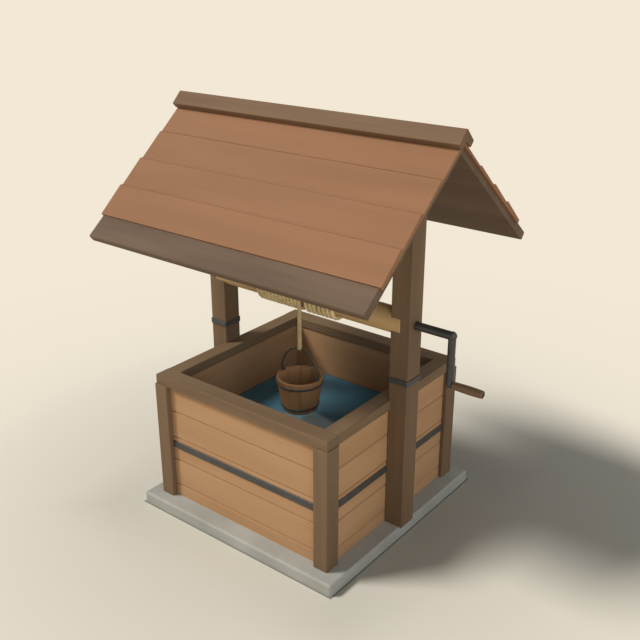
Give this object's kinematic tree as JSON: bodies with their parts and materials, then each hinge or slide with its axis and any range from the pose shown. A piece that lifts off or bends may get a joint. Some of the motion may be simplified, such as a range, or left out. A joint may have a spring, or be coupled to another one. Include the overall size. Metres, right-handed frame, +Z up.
{
  "type": "wishing well planter",
  "caption": "Square boarded wishing well planter on a slab, with a pitched board roof on posts, a cranked windlass and a stave bucket on a rope over a blue water sheet.",
  "frame": {"origin": "underside centre of the plinth slab", "axes": "+Z up, +X along the drum towards the crank, +Y towards the back slope of the roof"},
  "size_m": [0.889, 0.6498, 1.0034],
  "materials": {
    "cast_stone": "matt",
    "light_wood": "satin",
    "dark_wood": "satin",
    "roof_wood": "satin",
    "deck_wood": "satin",
    "drum_wood": "satin",
    "bucket_wood": "satin",
    "rope": "matt",
    "water_sheet": "gloss",
    "black_iron": "satin",
    "plain_steel": "satin"
  },
  "bodies": {
    "well": {"boards_back": "light_wood", "boards_front": "light_wood", "boards_left": "light_wood", "boards_right": "light_wood", "cap_rail_back": "dark_wood", "cap_rail_front": "dark_wood", "cap_rail_left": "dark_wood", "cap_rail_right": "dark_wood", "cap_screws": "plain_steel", "collar_left": "black_iron", "collar_right": "black_iron", "corner_post_back_left": "dark_wood", "corner_post_back_right": "dark_wood", "corner_post_front_left": "dark_wood", "corner_post_front_right": "dark_wood", "course_back_1": "roof_wood", "course_back_2": "roof_wood", "course_back_3": "roof_wood", "course_back_4": "roof_wood", "course_front_1": "roof_wood", "course_front_2": "roof_wood", "course_front_3": "roof_wood", "course_front_4": "roof_wood", "deck_back": "deck_wood", "deck_front": "deck_wood", "ledger_back": "light_wood", "ledger_front": "light_wood", "lining_back": "light_wood", "lining_front": "light_wood", "lining_left": "light_wood", "lining_right": "light_wood", "plinth_slab": "cast_stone", "post_bolts": "plain_steel", "ridge_bar": "deck_wood", "ridge_beam": "deck_wood", "roof_post_left": "dark_wood", "roof_post_right": "dark_wood", "roof_screws": "plain_steel", "strap_back": "black_iron", "strap_front": "black_iron", "strap_left_back": "black_iron", "strap_left_front": "black_iron", "strap_right_back": "black_iron", "strap_right_front": "black_iron", "water_panel": "water_sheet"},
    "windlass": {"windlass_drum": "drum_wood", "axle_stub": "plain_steel", "cross_pins": "plain_steel", "crank": "black_iron", "rope_winding": "rope", "rope_spare": "rope"},
    "grip": {"crank_grip": "dark_wood"},
    "hoist": {"bucket_bail": "black_iron", "rope_fall": "rope", "rope_end": "rope"},
    "bucket": {"bucket_staves": "bucket_wood", "bucket_base": "bucket_wood", "hoop_upper": "black_iron", "hoop_lower": "black_iron", "bucket_ears": "black_iron"}
  },
  "joints": [
    {"name": "crank_turn", "type": "hinge", "parent": "well", "child": "windlass", "pos_m": [0, 0, 0.557], "axis": [1, 0, 0], "range_deg": [-116, 52]},
    {"name": "grip_spin", "type": "hinge", "parent": "windlass", "child": "grip", "pos_m": [0.41, 0, 0.4405], "axis": [1, 0, 0], "continuous": true},
    {"name": "bucket_hoist", "type": "slide", "parent": "well", "child": "hoist", "axis": [0, 0, 1], "range_m": [-0.033, 0.0725], "deforming": ["rope_fall"]},
    {"name": "bucket_tip", "type": "hinge", "parent": "hoist", "child": "bucket", "pos_m": [0, -0.0352, 0.3575], "axis": [1, 0, 0], "range_deg": [-70, 70]}
  ],
  "couplings": [
    {"joint": "bucket_hoist", "follows": "crank_turn", "m_per_rad": -0.0352}
  ]
}
